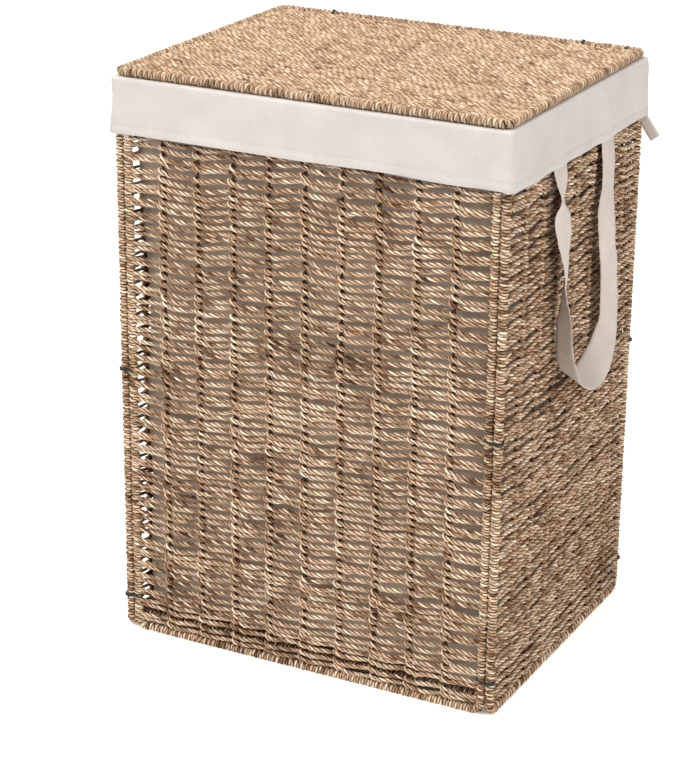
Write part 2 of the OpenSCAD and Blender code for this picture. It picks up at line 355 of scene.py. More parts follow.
def resample(track, step):
    """Columns: x y z, radius out, radius along, axis x y z, open air; evenly spaced."""
    s = length_along(track[:, :3])
    return at(np.linspace(0, s[-1], max(3, int(s[-1] / step) + 1)), s, track)


def ease(t):
    return t * t * (3 - 2 * t)


def rings(track, phase):
    """The twisted cross-sections along a resampled track, and the distance of each."""
    p, out, along, axis = track[:, :3], track[:, 3], track[:, 4], track[:, 5:8]
    t = unit(np.gradient(p, axis=0))
    n = unit(np.cross(axis, t))
    b = np.cross(t, n)
    s = length_along(p)
    a = LOBE[None, :] + (2 * math.pi * s / LAY + phase)[:, None]
    ring = p[:, None, :] \
        + n[:, None, :] * (RHO * np.cos(a) * out[:, None])[..., None] \
        + b[:, None, :] * (RHO * np.sin(a) * along[:, None])[..., None]
    ring[..., 2] = np.maximum(ring[..., 2], GROUND)
    return ring, s


def strips(counts, longest):
    """Splits cords into strips of a bake sheet: (strip, first ring) for each cord's quads."""
    total, out = 0, []
    for n in counts:
        quad = np.arange(n - 1)
        out.append((total + quad // longest, quad % longest))
        total += (n - 2) // longest + 1
    return total, out


def cord_faces(made, counts, longest, rng):
    """Quads and end caps of all cords, with their corners in the "cord" and bake layers."""
    rows, split = strips(counts, longest)
    quads, caps, cord_uv, bake_uv, end_uv, end_bake, base = [], [], [], [], [], [], 0
    for (_, s), n, (strip, first) in zip(made, counts, split):
        i, j = np.meshgrid(np.arange(n - 1), np.arange(SIDES), indexing="ij")
        this, after = base + i * SIDES, base + (i + 1) * SIDES
        jj = (j + 1) % SIDES
        quads.append(np.stack([this + j, this + jj, after + jj, after + j], -1).ravel())
        off = rng.uniform(0, 9)
        u0, u1 = off + s[i], off + s[i + 1]
        v0, v1 = j / SIDES, (j + 1) / SIDES
        cord_uv.append(np.stack([u0, v0, u0, v1, u1, v1, u1, v0], -1).ravel())
        x0, x1 = first[i] / longest, (first[i] + 1) / longest
        y0, y1 = [(strip[i] + STRIP_EDGE + (1 - 2 * STRIP_EDGE) * v) / rows for v in (v0, v1)]
        bake_uv.append(np.stack([x0, y0, x0, y1, x1, y1, x1, y0], -1).ravel())
        tail = base + (n - 1) * SIDES
        caps += [np.arange(base + SIDES - 1, base - 1, -1), np.arange(tail, tail + SIDES)]
        for distance, end in ((0, 0), (s[-1], -1)):
            x = (first[-1] + 0.5) / longest if end else 0.0
            end_uv += [off + distance, 0.5] * SIDES
            end_bake += [x, (strip[end] + 0.5) / rows] * SIDES
        base += n * SIDES
    layers = {"cord": cord_uv + [end_uv], "OFBake": bake_uv + [end_bake]}
    return quads, caps, {name: np.concatenate(uv) for name, uv in layers.items()}


def cord_object(name, tracks, rng, step, material, body, nodes):
    """One mesh from many cords, with a UV layer along the cords and one for baking."""
    tracks = [resample(t, step) for t in tracks]
    made = [rings(t, rng.uniform(0, 6.28)) for t in tracks]
    counts = [len(r) for r, _ in made]
    longest = max(60, int(math.sqrt(sum(counts) * STRIP_SHAPE)))
    quads, caps, layers = cord_faces(made, counts, longest, rng)
    verts = np.concatenate([r.reshape(-1, 3) for r, _ in made])
    index = np.concatenate(quads + caps)
    first_cap = len(index) - len(caps) * SIDES
    starts = np.r_[np.arange(0, first_cap, 4), np.arange(first_cap, len(index), SIDES)]
    mesh = bpy.data.meshes.new(name)
    mesh.vertices.add(len(verts))
    mesh.vertices.foreach_set("co", verts.astype(np.float32).ravel())
    mesh.loops.add(len(index))
    mesh.loops.foreach_set("vertex_index", index.astype(np.int32))
    mesh.polygons.add(len(starts))
    mesh.polygons.foreach_set("loop_start", starts.astype(np.int32))
    mesh.polygons.foreach_set("use_smooth", np.ones(len(starts), bool))
    for layer, data in layers.items():
        uv = mesh.uv_layers.new(name=layer)
        uv.data.foreach_set("uv", data.astype(np.float32))
    mesh.update(calc_edges=True)
    mesh.materials.append(material)
    open_air = mesh.attributes.new("open_air", "FLOAT", "POINT")
    value = np.repeat(np.concatenate([t[:, 8] for t in tracks]), SIDES)
    open_air.data.foreach_set("value", value.astype(np.float32))
    return settle(name, mesh, body, nodes)


def tube_faces(base, count, sides):
    """Quads between the rings of a tube whose first vertex is base."""
    return [(base + i * sides + j, base + i * sides + (j + 1) % sides,
             base + (i + 1) * sides + (j + 1) % sides, base + (i + 1) * sides + j)
            for i in range(count - 1) for j in range(sides)]


def plain_mesh(name, verts, faces, material, uvs=None):
    """A smooth mesh of one material, with a UV layer in metres where uvs are given."""
    mesh = bpy.data.meshes.new(name)
    mesh.from_pydata(np.array(verts).tolist(), [], faces)
    if uvs is not None:
        layer = mesh.uv_layers.new(name="cloth")
        layer.data.foreach_set("uv", np.array(uvs, np.float32).ravel())
    mesh.polygons.foreach_set("use_smooth", np.ones(len(faces), bool))
    mesh.materials.append(material)
    return mesh


def settle(name, mesh, body, nodes):
    """Puts a mesh into the scene, to move with its body and stand for its CAD nodes."""
    obj = add(name, mesh)
    if body:
        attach(obj, body)
    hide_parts(*nodes)
    return obj


# ---------------- panels

PANEL_CORNER = 10 * MM
LID_CORNER = 7 * MM
ROW_PITCH = 7.6 * MM
ROW_R = 2.7 * MM
FIRST_ROW = 8.6 * MM  # over the lower rim wire
LAST_ROW = 6.0 * MM  # under the upper one
LOOSE_ENDS = 22  # in each third of a wall
LOOSE_ENDS_LID = 40
LOOSE_FROM = 12 * MM  # over the lower rim wire
LOOSE_TO = 85 * MM  # under the upper one, just below the cuff
RIM_HELIX = 3.1 * MM
RIM_PITCH = 5.6 * MM
RIM_POINTS = 13  # in one turn of the wrapping
FLOOR_PITCH = 6.0 * MM
FLOOR_R = 2.6 * MM
FLOOR_STEP = 1.8 * MM
LID_PITCH = 4.15 * MM
LID_R = 2.7 * MM

# each panel's outward direction, and its bays between ribs
PANELS = {"front": ((0, -1, 0), 10), "right": ((1, 0, 0), 8), "back": ((0, 1, 0), 10),
          "left": ((-1, 0, 0), 8), "bottom": ((0, 0, -1), 10), "lid": ((0, 0, 1), 10)}


class Panel:
    """A flat panel: u to the right, v up and w out, as seen from outside."""

    def __init__(self, name):
        lo, hi = [np.array(p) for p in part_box(name + "_edge_wrap")]
        outward, self.bays = PANELS[name]
        self.name, self.body = name, "lid" if name == "lid" else "basket"
        self.flip = name in ("left", "right")
        self.w = np.array(outward, float)
        self.u = np.array((1, 0, 0) if outward[2] else (-outward[1], outward[0], 0), float)
        self.v = np.cross(self.w, self.u)
        self.o, half = (lo + hi) / 2, (hi - lo) / 2
        self.r = abs(half @ self.w)
        self.hu = abs(half @ self.u) - self.r
        hv = abs(half @ self.v) - self.r
        self.v0, self.v1 = -hv, hv
        if lo[2] < self.r * 0.5:
            self.v0 = (self.r - GROUND) - self.o[2]
        self.corner = LID_CORNER if name == "lid" else PANEL_CORNER
        self.ribs = [-self.hu + 2 * self.hu * i / self.bays for i in range(1, self.bays)]

    def world(self, uwv):
        return self.o + uwv[:, :1] * self.u + uwv[:, 1:2] * self.w + uwv[:, 2:3] * self.v

    def track(self, uwv, out, along, axis, open_air=1.0):
        """A cord's track in the model's frame, from u, w, v; the axis is given in u, w, v
        too, once or per point."""
        axis = np.broadcast_to(np.array(axis, float), uwv.shape)
        turned = axis[:, :1] * self.u + axis[:, 1:2] * self.w + axis[:, 2:3] * self.v
        n = len(uwv)
        return np.column_stack([self.world(uwv), np.broadcast_to(out, n),
                                np.broadcast_to(along, n), turned,
                                np.broadcast_to(open_air, n)])


def ripple(rng, count, longest, shortest):
    """A smooth random field of u and v, about -1 to 1."""
    waves = [(2 * math.pi / rng.uniform(shortest, longest), rng.uniform(0, 6.28),
              rng.uniform(0, 6.28)) for _ in range(count)]

    def field(u, v):
        total = 0
        for k, turn, phase in waves:
            total = total + np.sin(k * (u * math.cos(turn) + v * math.sin(turn)) + phase)
        return total / math.sqrt(count)

    return field


# one hitch round a rib: angle in degrees, height in mm, share of the last pass, which
# crosses over; the sides are woven the other way round and climb along the row
HITCH = [(-70, 0.5, 0.0), (0, 0.6, 0.0), (90, 0.9, 0.0), (180, 1.8, 0.1), (240, 2.5, 0.6),
         (280, 2.4, 1.0), (320, 1.6, 1.0), (360, 0.5, 1.0), (390, -0.4, 1.0), (425, -1.2, 0.8)]
HITCH_BACK = [(-70, -2.6, 0.0), (0, -2.4, 0.0), (90, -1.6, 0.0), (180, 0.2, 0.1),
              (240, 1.8, 0.6), (280, 2.8, 1.0), (320, 3.2, 1.0), (360, 3.0, 1.0),
              (390, 2.7, 1.0), (425, 2.4, 0.8)]
# how open a hitch lies to the air, by angle; where it is low the straw gets painted shade
HITCH_AIR = [(-70, 0.80), (-20, 0.5), (60, 0.2), (110, 0.0), (230, 0.0), (290, 0.85),
             (370, 1.0), (425, 0.8)]
HITCH_R = 2.1 * MM
HITCH_OVER = 1.2 * MM  # how far the last pass stands out over the first
HITCH_TUCKED = 0.4 * MM  # the same beneath the cuff
HITCH_WIDE = 0.8 * MM
PAIR = 1.4 * MM  # how far the rows draw together in pairs at the rims
PAIR_SIDE = 1.8 * MM
PAIR_REAR = 0.3 * MM


def hitches(panel, v, rng, over):
    """Turns round every rib: the rib, then columns u, w, v, thickness share, open air."""
    keys = np.array(HITCH_BACK if panel.flip else HITCH)
    turn = np.arange(keys[0, 0], keys[-1, 0] + 1, 15.0)
    rise = np.interp(turn, keys[:, 0], keys[:, 1])
    rise = np.convolve(np.pad(rise, 2, "edge"), np.ones(5) / 5, "valid")
    share = np.interp(turn, keys[:, 0], keys[:, 2])
    air = np.interp(turn, *np.array(HITCH_AIR).T)
    a = np.radians(turn)
    for rib in panel.ribs:
        r = HITCH_R + over * share * rng.uniform(0.8, 1.25)
        base = v + rng.normal(0, 0.6) * MM
        tall = rng.uniform(0.7, 1.3) * MM
        slip = rng.normal(0, 0.7) * MM
        across = r + HITCH_WIDE * share * rng.uniform(0.7, 1.2)
        yield rib, np.column_stack([rib + slip + across * np.sin(a), r * np.cos(a),
                                    base + rise * tall, 0.60 + 0.34 * share, air]), keys


def stretch(u, v, points):
    """Points of a row beside (u, v): u, w and v in mm, thickness share and open air."""
    return np.array(points) * (MM, MM, MM, 1, 1) + (u, 0, v, 0, 0)


def wall_row(panel, k, v, rng, lift, sway, radius, over):
    """A row cord that turns once round every rib and runs in behind the rims."""
    pair = 1 if k % 2 else -1
    hu, front = panel.hu, 0.5 * pair
    # the ends that run in behind the rims get less open air, and so painted shade
    parts = [stretch(-hu, v, [(0.2, 2.9 + front, 0, 0.62, 0.7), (2.5, 2.3 + front, 0, 0.75, 0.7),
                              (7, 0.9 + front, -0.3, 0.88, 1), (16, 0.5, -0.2, 0.96, 1)])]
    for rib, part, keys in hitches(panel, v, rng, over):
        parts.append(part)
        near, far, sag = keys[-1, 1], keys[0, 1], rng.normal(0, 0.8)
        parts.append(stretch(rib, v, [(9, 1.7, near * 1.15, 1.02, 1),
                                      (14, 1.6, near * 0.9 + sag, 1.04, 1),
                                      (24, 0.8, near * 0.5 + far * 0.5 + sag, 1.0, 1)]))
    parts[-1] = parts[-1][:1]
    parts.append(stretch(hu, v, [(-20, 0.6, near * 0.9, 0.98, 1),
                                 (-8, 0.5 + front, near * 0.4, 0.90, 1),
                                 (-3, -0.4 + front, 0, 0.75, 0.7),
                                 (-0.2, -2.4 + front, 0, 0.62, 0.7)]))
    p = np.concatenate(parts)
    if panel.flip:
        p = p[::-1] * np.array([-1, 1, 1, 1, 1])
    u, w, height = p[:, 0], p[:, 1], p[:, 2]
    start = hu - 22 * MM if panel.flip else panel.ribs[-1] + 3 * MM
    t = np.clip((np.abs(u) - start) / ((14 if panel.flip else 10) * MM), 0, 1)
    close = np.where(u * panel.u[1] < 0, PAIR_SIDE, PAIR_REAR) if panel.flip else PAIR
    height = height - pair * close * ease(t) + lift(u, np.full_like(u, v))
    w = w + sway(u, height)
    r = radius * p[:, 3]
    return panel.track(np.column_stack([u, w, height]), r, r, (0, 0, 1), p[:, 4])


def wall_rows(panel, seed):
    """All rows of a wall, unevenly spaced, and the random generator for what follows."""
    rng = np.random.default_rng(seed)
    wide, fine = ripple(rng, 5, 0.5, 0.16), ripple(rng, 7, 0.10, 0.045)
    bow = ripple(rng, 4, 0.5, 0.2)
    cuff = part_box("liner_cuff")[0][2] - 3 * MM

    def lift(u, v):
        edge = np.clip((panel.hu - np.abs(u)) / 0.03, 0.25, 1)
        ends = np.clip(np.minimum(v - panel.v0, panel.v1 - v) / 0.06, 0.1, 1)
        return (2.2 * MM * wide(u, v) + 1.0 * MM * fine(u, v * 2.2)) * edge * ends

    def sway(u, v):
        edge = np.clip((panel.hu - np.abs(u)) / 0.05, 0, 1)
        return 0.4 * MM * bow(u, v) * edge

    first, last = panel.v0 + FIRST_ROW, panel.v1 - LAST_ROW
    count = int((last - first) / ROW_PITCH) + 1
    gap = np.clip(rng.normal(1, 0.17, count), 0.68, 1.6)
    heights = first + (last - first) * (np.cumsum(gap) - gap[0]) / (gap.sum() - gap[0])
    return [wall_row(panel, k, v, rng, lift, sway, ROW_R * rng.uniform(0.92, 1.08),
                     HITCH_OVER if v + panel.o[2] < cuff else HITCH_TUCKED)
            for k, v in enumerate(heights)], rng


def stray_fibres(panel, rng, count, low, high):
    """Short loose ends of grass that stand off the weave between two heights."""
    out = []
    for _ in range(count):
        u = rng.uniform(-0.96, 0.96) * panel.hu
        v = rng.uniform(low, high)
        reach, tilt = rng.uniform(6, 20) * MM, rng.normal(0, 0.5)
        f = np.linspace(0, 1, 7)
        curl = rng.normal(0, 2.0) * MM * f ** 2
        lift = (1.5 + rng.uniform(2, 6) * f ** 1.5) * MM
        way = rng.choice([-1, 1])
        line = np.column_stack([u + way * reach * f * math.cos(tilt), lift,
                                v + reach * f * math.sin(tilt) + curl])
        line[:, 0] = np.clip(line[:, 0], -panel.hu, panel.hu)
        r = rng.uniform(0.25, 0.5) * MM * (1.15 - f)
        out.append(panel.track(line, r, r, (0, 0, 1)))
    return out


def shared_out(rows, labels):
    """Each label with its share of the rows, in order."""
    cuts = np.linspace(0, len(rows), len(labels) + 1).astype(int)
    return [(label, rows[a:b]) for label, a, b in zip(labels, cuts, cuts[1:])]


def weave_walls(panel, seed, material):
    """A wall's rows in three bands, with loose ends up to where the cuff hangs."""
    rows, rng = wall_rows(panel, seed)
    labels = ("low", "mid", "top")
    heights = np.linspace(panel.v0 + LOOSE_FROM, panel.v1 - LOOSE_TO, len(labels) + 1)
    for (label, part), low, high in zip(shared_out(rows, labels), heights, heights[1:]):
        loose = stray_fibres(panel, rng, LOOSE_ENDS, low, high)
        cord_object(f"{panel.name}_rows_{label}", part + loose, rng, STEP,
                    material, panel.body, [panel.name + "_weave"])


def corner_arcs(hx, y0, y1, r, count):
    """The corners of a rounded rectangle, counter-clockwise from the lower right one."""
    turn = np.radians(np.linspace(0, 90, count))
    arcs = []
    for x, y, start in ((hx - r, y0 + r, -90), (hx - r, y1 - r, 0), (-hx + r, y1 - r, 90),
                        (-hx + r, y0 + r, 180)):
        a = turn + math.radians(start)
        arcs.append(np.column_stack([x + r * np.cos(a), y + r * np.sin(a)]))
    return np.concatenate(arcs)


def rim_centre(panel, step):
    """The outer wire's middle line: points, directions along it, distances along it."""
    seam = [[0.0, panel.v0]]
    arcs = corner_arcs(panel.hu, panel.v0, panel.v1, panel.corner, 13)
    p = np.concatenate([seam, arcs, seam])
    s = length_along(p)
    want = np.arange(0, s[-1], step)
    p = at(want, s, p)
    return p, unit(np.gradient(p, axis=0)), want


def wrap_rim(panel, seed, material, radius=RIM_HELIX, thick=2.3 * MM, wide=3.0 * MM):
    """Cord wound closely round a panel's outer wire."""
    rng = np.random.default_rng(seed)
    p, along, s = rim_centre(panel, RIM_PITCH / RIM_POINTS)
    sway = ripple(rng, 4, 0.09, 0.03)(s, s * 0)
    beta = 2 * math.pi * (s / RIM_PITCH + 0.22 * sway)
    puff = 1 + 0.05 * ripple(rng, 6, 0.03, 0.011)(s, s * 0)
    inward = np.column_stack([along[:, 1], -along[:, 0]])
    r = (radius * puff)[:, None]
    offset = inward * np.sin(beta)[:, None] * r
    uwv = np.column_stack([p[:, 0] + offset[:, 0], np.cos(beta) * r[:, 0],
                           p[:, 1] + offset[:, 1]])
    axis = np.column_stack([along[:, 0], 0 * s, along[:, 1]])
    track = panel.track(uwv, thick, wide, axis)
    cord_object(panel.name + "_rim_wrap", [track], rng, STEP, material, panel.body,
                [panel.name + "_edge_wrap"])


def flat_rows(panel, seed, pitch, radius, swing, lift_mm):
    """Straight rows packed side by side, over and under the ribs, for the lid and floor."""
    rng = np.random.default_rng(seed)
    wide, fine = ripple(rng, 5, 0.4, 0.12), ripple(rng, 6, 0.08, 0.03)
    rib_gap = 2 * panel.hu / panel.bays
    inset = panel.r + 0.6 * MM
    first, last = panel.v0 + inset + radius * 0.5, panel.v1 - inset - radius * 0.5
    count = int(round((last - first) / pitch)) + 1
    rows = []
    for k, v in enumerate(np.linspace(first, last, count)):
        v = v + rng.normal(0, 0.25) * MM
        u = np.linspace(-panel.hu + 0.8 * MM, panel.hu - 0.8 * MM, 150)
        edge = np.clip((panel.hu - np.abs(u)) / 0.02, 0, 1)
        ends = np.clip(min(v - panel.v0, panel.v1 - v) / 0.04, 0.15, 1)
        wave = np.cos(math.pi * (u + panel.hu) / rib_gap) * (1 if k % 2 else -1)
        w = swing * wave * edge + 0.35 * MM * fine(u, np.full_like(u, v * 3))
        height = v + lift_mm * MM * wide(u, np.full_like(u, v)) * edge * ends
        r = radius * (1 + 0.06 * fine(u * 1.7, np.full_like(u, v * 5)))
        rows.append(panel.track(np.column_stack([u, w, height]), r, r, (0, 0, 1)))
    return rows, rng


def weave_flat(panel, seed, material, pitch, radius, swing, lift_mm, labels, step):
    """The lid or the floor, in as many pieces as there are labels."""
    rows, rng = flat_rows(panel, seed, pitch, radius, swing, lift_mm)
    loose = []
    if panel.name == "lid":
        loose = stray_fibres(panel, rng, LOOSE_ENDS_LID, panel.v0, panel.v1)
    for label, part in shared_out(rows, labels):
        cord_object(f"{panel.name}_rows_{label}", part + loose, rng, step,
                    material, panel.body, [panel.name + "_weave"])
        loose = []


# ---------------- cloth

def grid_object(name, points, material, body, nodes, ends=()):
    """A tube of quads from points (around, along, 3) with a UV layer in metres; "ends" are
    0 and -1 where it is capped."""
    nu, nv = points.shape[:2]
    du = np.linalg.norm(np.diff(points, axis=0, append=points[:1]), axis=2).mean(1)
    dv = np.linalg.norm(np.diff(points, axis=1), axis=2).mean(0)
    us, vs = np.r_[0, np.cumsum(du)], np.r_[0, np.cumsum(dv)]
    faces, uvs = [], []
    for i in range(nu):
        for j in range(nv - 1):
            k = (i + 1) % nu
            faces.append((i * nv + j, k * nv + j, k * nv + j + 1, i * nv + j + 1))
            uvs += [(us[i], vs[j]), (us[i + 1], vs[j]), (us[i + 1], vs[j + 1]),
                    (us[i], vs[j + 1])]
    for j in ends:
        order = range(nu) if j else range(nu - 1, -1, -1)
        faces.append(tuple(i * nv + j % nv for i in order))
        uvs += [tuple(points[i, j, :2]) for i in order]
    mesh = plain_mesh(name, points.reshape(-1, 3), faces, material, uvs)
    return settle(name, mesh, body, nodes)


def rounded_outline(hx, hy, rc, spacing):
    """Closed outline, counter-clockwise from the front middle: points, outward, distance."""
    p = corner_arcs(hx, -hy, hy, rc, 10)
    p = np.concatenate([p, p[:1]])
    s = length_along(p)
    want = np.linspace(0, s[-1], int(s[-1] / spacing), endpoint=False)
    q = at(want, s, p)
    t = unit(np.roll(q, -1, 0) - np.roll(q, 1, 0))
    return q, np.column_stack([t[:, 1], -t[:, 0]]), want


BAG_INSET = 1.6 * MM
BAG_CORNER = 30 * MM
BAG_FILL = 12 * MM  # how far the corners push out; at the front only near the top
BAG_FILL_FROM = 0.40
BAG_FILL_OVER = 0.14


def near_corners(q, hx, hy):
    """1 at the corners of a rectangle, falling to 0 over 30 mm."""
    return np.clip(1 - np.hypot(np.abs(q[:, 0]) - hx, np.abs(q[:, 1]) - hy) / 0.03, 0, 1)


def make_bag(material):
    """The cotton bag: loose walls that dip inwards, rounded corners and a soft floor."""
    lo, hi = [np.array(p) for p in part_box("liner_bag")]
    rng = np.random.default_rng(31)
    hx, hy = hi[0] - BAG_INSET, hi[1] - BAG_INSET
    q, out, s = rounded_outline(hx, hy, BAG_CORNER, 9 * MM)
    fold, soft = ripple(rng, 6, 0.12, 0.05), ripple(rng, 5, 0.35, 0.15)
    corner = near_corners(q, hx, hy)
    levels = np.r_[hi[2], np.linspace(hi[2] - 8 * MM, lo[2] + 12 * MM, 44),
                   lo[2] + 4 * MM, lo[2] + 1 * MM]
    tuck = np.r_[np.zeros(len(levels) - 2), 2.5 * MM, 9 * MM]
    pts = np.zeros((len(q), len(levels) + 5, 3))
    for j, (z, t) in enumerate(zip(levels, tuck)):
        dip = 1.3 * MM * (fold(s, s * 0 + z * 0.4) - 1.2) + 1.2 * MM * (soft(s, s * 0 + z) - 1)
        dip = np.minimum(dip, 0) * min(1, (hi[2] - z) / 0.03 + 0.1)
        at_front = np.clip((z - BAG_FILL_FROM) / BAG_FILL_OVER, 0, 1)
        full = np.where(q[:, 1] > 0, 1.0, at_front)
        pts[:, j, :2] = q + out * (dip - t + BAG_FILL * corner * full)[:, None]
        pts[:, j, 2] = z
    rim = pts[:, len(levels) - 1].copy()
    for m, share in enumerate((0.85, 0.6, 0.35, 0.12, 0.0)):
        j = len(levels) + m
        pts[:, j, :2] = rim[:, :2] * (share or 0.01)
        swell = 1.5 * MM * (1 + soft(pts[:, j, 0] * 2, pts[:, j, 1] * 2))
        pts[:, j, 2] = lo[2] + 1.2 * MM + swell * (1 - share * 0.5)
    obj = grid_object("liner_bag_cloth", pts, material, "basket", ["liner_bag"])


CUFF_CORNER = 3 * MM
HEM_BAND = 9 * MM
HEM_RISE = 3.8 * MM  # how much shorter the cuff is at the front than at the back
HEM_RISE_OVER = 0.07
LEG_Y = 61 * MM  # where the handles' legs run beneath the cuff
LEG_WIDE = 19 * MM


def make_cuff(material, thread):
    """The band turned down over the rims, with its sewn hem."""
    lo, hi = [np.array(p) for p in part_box("liner_cuff")]
    bag_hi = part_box("liner_bag")[1]
    rng = np.random.default_rng(41)
    ox, oy, top, hem = hi[0] - 0.7 * MM, hi[1] - 0.7 * MM, hi[2], lo[2]
    ix, iy = bag_hi[0] - 1.0 * MM, bag_hi[1] - 1.0 * MM
    q, out, s = rounded_outline(ox, oy, CUFF_CORNER, 4.5 * MM)
    soft, small = ripple(rng, 6, 0.22, 0.09), ripple(rng, 6, 0.06, 0.03)
    band, rise = HEM_BAND, top - hem
    # share of the way in, height over the hem, how far it puffs out
    profile = [(0.0, 0.000, 0.2), (0.0, 0.0015, 0.8), (0.0, band * 0.5, 0.95),
               (0.0, band - 1.4 * MM, 0.8), (0.0, band, 0.0), (0.0, band + 1.6 * MM, 0.5)]
    profile += [(0.0, h, 0.4) for h in np.linspace(band + 6 * MM, rise - 5 * MM, 8)]
    profile += [(0.0, rise - 2.6 * MM, 0.2), (0.06, rise - 0.9 * MM, 0.1), (0.2, rise, 0),
                (0.5, rise + 0.1 * MM, 0), (0.8, rise, 0), (0.95, rise - 1.0 * MM, 0),
                (1.0, rise - 4 * MM, 0), (1.0, rise - 14 * MM, 0), (1.0, rise - 20 * MM, 0)]
    corner = near_corners(q, ox, oy)
    pts = np.zeros((len(q), len(profile), 3))
    inner = q * np.array([ix / ox, iy / oy])
    on_side = np.abs(q[:, 0]) > ox - 3 * MM
    over_leg = on_side * np.exp(-((np.abs(q[:, 1]) - LEG_Y) / LEG_WIDE) ** 4)
    ahead = np.clip((HEM_RISE_OVER - oy - q[:, 1]) / HEM_RISE_OVER, 0, 1)
    short = HEM_RISE * ease(ahead)
    for j, (inward, h, puff) in enumerate(profile):
        free = max(0.0, 1 - h / rise)
        wave = soft(s, s * 0 + h * 0.8) * 0.9 + small(s, s * 0 + h) * 0.35
        loose = 0.9 * (wave + 0.6) * min(1, (rise - h) / 0.012 + 0.15)
        push = (1.9 * free ** 3 + 0.7 * puff + loose) * MM
        push = (push + 2.3 * MM * over_leg * min(1, free * 2.2)) * (1 - inward)
        base = q * (1 - inward) + inner * inward
        pts[:, j, :2] = base + out * (push + 1.2 * MM * corner * free)[:, None]
        pts[:, j, 2] = hem + h - free * (1.0 * MM * corner - short
                                         + 0.6 * MM * soft(s * 1.3, s * 0) * free)
    obj = grid_object("liner_cuff_cloth", pts, material, "basket", ["liner_cuff"])
    seam = pts[:, 4] + np.column_stack([out * 0.35 * MM, s * 0])
    stitches = make_stitches("liner_cuff_stitches", seam, 3.6 * MM, thread, "basket")
    depth = length_along(pts[0])[-1]


def make_stitches(name, line, pitch, material, body):
    """A run of short threads along a closed line."""
    line = np.concatenate([line, line[:1]])
    s = length_along(line)
    verts, faces = [], []
    a = np.radians(np.arange(0, 360, 60))
    up = np.array([0, 0, 1.0])
    for start in np.arange(0, s[-1] - pitch, pitch):
        ends = at(start + np.array([0.06, 0.22, 0.56, 0.72]) * pitch, s, line)
        n = unit(np.cross(unit(ends[3] - ends[0]), up))
        faces += tube_faces(len(verts), len(ends), len(a))
        for p, r in zip(ends, (0.08, 0.30, 0.30, 0.08)):
            verts += [p + (n * math.cos(x) * 0.8 + up * math.sin(x)) * r * MM for x in a]
    co = np.array(verts)[np.ravel(faces)]
    mesh = plain_mesh(name, verts, faces, material, co[:, [0, 2]] + co[:, 1:2])
    return settle(name, mesh, body, [])


def ribbon(name, stations, width_points, thick, material, body, nodes):
    """A tape from stations (place, half-width vector), made as a closed thin band; also
    gives its length."""
    s = length_along(stations[:, :3])
    want = np.linspace(0, s[-1], int(s[-1] / (3 * MM)) + 2)
    fine = smooth_interp(want, s, stations)
    centre, half = fine[:, :3], fine[:, 3:6]
    t = unit(np.gradient(centre, axis=0))
    normal = unit(np.cross(half, t))
    x = np.linspace(-1, 1, width_points)
    curl = 0.03 * (1 - x ** 2)
    wide = np.linalg.norm(half, axis=1)
    crease = ripple(np.random.default_rng(61), 7, 0.05, 0.014)
    free = np.clip(np.minimum(want, s[-1] - want) / (30 * MM), 0, 1)[:, None]
    folds = 0.55 * MM * free * crease(want[:, None] + 0 * x, 0.6 * wide[:, None] * x)
    top = centre[:, None] + half[:, None] * x[None, :, None] \
        + normal[:, None] * (wide[:, None] * curl[None, :] + folds)[..., None]
    edge = np.clip((1 - np.abs(x)) * 6, 0.35, 1)
    thickness = normal[:, None] * (thick / 2 * edge)[None, :, None]
    loop = np.concatenate([top + thickness, (top - thickness)[:, ::-1]], axis=1)
    obj = grid_object(name, loop.transpose(1, 0, 2), material, body, nodes,
                      ends=(0, -1))
    return obj, s[-1]


def smooth_interp(want, s, rows):
    """Cubic interpolation through the stations with finite-difference tangents."""
    m = np.gradient(rows, s, axis=0)
    i = np.clip(np.searchsorted(s, want, side="right") - 1, 0, len(s) - 2)
    h = (s[i + 1] - s[i])[:, None]
    t = ((want - s[i]) / (s[i + 1] - s[i]))[:, None]
    return (2 * t ** 3 - 3 * t ** 2 + 1) * rows[i] + (t ** 3 - 2 * t ** 2 + t) * h * m[i] \
        + (-2 * t ** 3 + 3 * t ** 2) * rows[i + 1] + (t ** 3 - t ** 2) * h * m[i + 1]


STRAP_W = 33 * MM
STRAP_THICK = 1.3 * MM
STRAP_CLEAR = 2.6 * MM  # how far its middle stands off the stitched ends' outer face
TAPE_THICK = 0.9 * MM

# down the front leg, round the bottom and up the back leg of a hanging handle: y and z
# in mm from the middle of its top, stand-off in mm, twist in degrees, width share
STRAP_STATIONS = [
    (-56, 9, -1.6, 0, 1.00), (-56, 1, -0.8, 0, 0.98), (-54, -22, 2.4, 10, 0.95),
    (-57, -34, 4.0, 18, 0.95), (-60, -49, 5.5, -2, 1.00), (-59, -64, 7.5, -3, 1.00),
    (-57, -92, 10.0, 12, 1.00), (-59, -122, 11.5, 26, 0.95), (-59, -152, 12.0, 43, 1.00),
    (-57, -178, 12.2, 53, 1.00), (-52, -203, 12.8, 60, 1.00), (-37, -225, 13.4, 64, 1.00),
    (-14, -236, 13.6, 65, 1.00), (13, -238, 13.2, 59, 1.00), (40, -229, 12.0, 44, 1.00),
    (60, -211, 11.0, 26, 1.00), (67, -185, 10.5, 13, 1.00), (62, -150, 11.0, 9, 1.00),
    (56, -120, 11.2, 9, 1.00), (51, -95, 10.5, 9, 1.00), (53, -66, 8.0, 8, 1.00),
    (61, -42, 5.5, 1, 0.98), (66, -22, 2.8, 1, 1.00), (69, 1, -0.8, 0, 1.00),
    (69, 9, -1.6, 0, 1.00)]


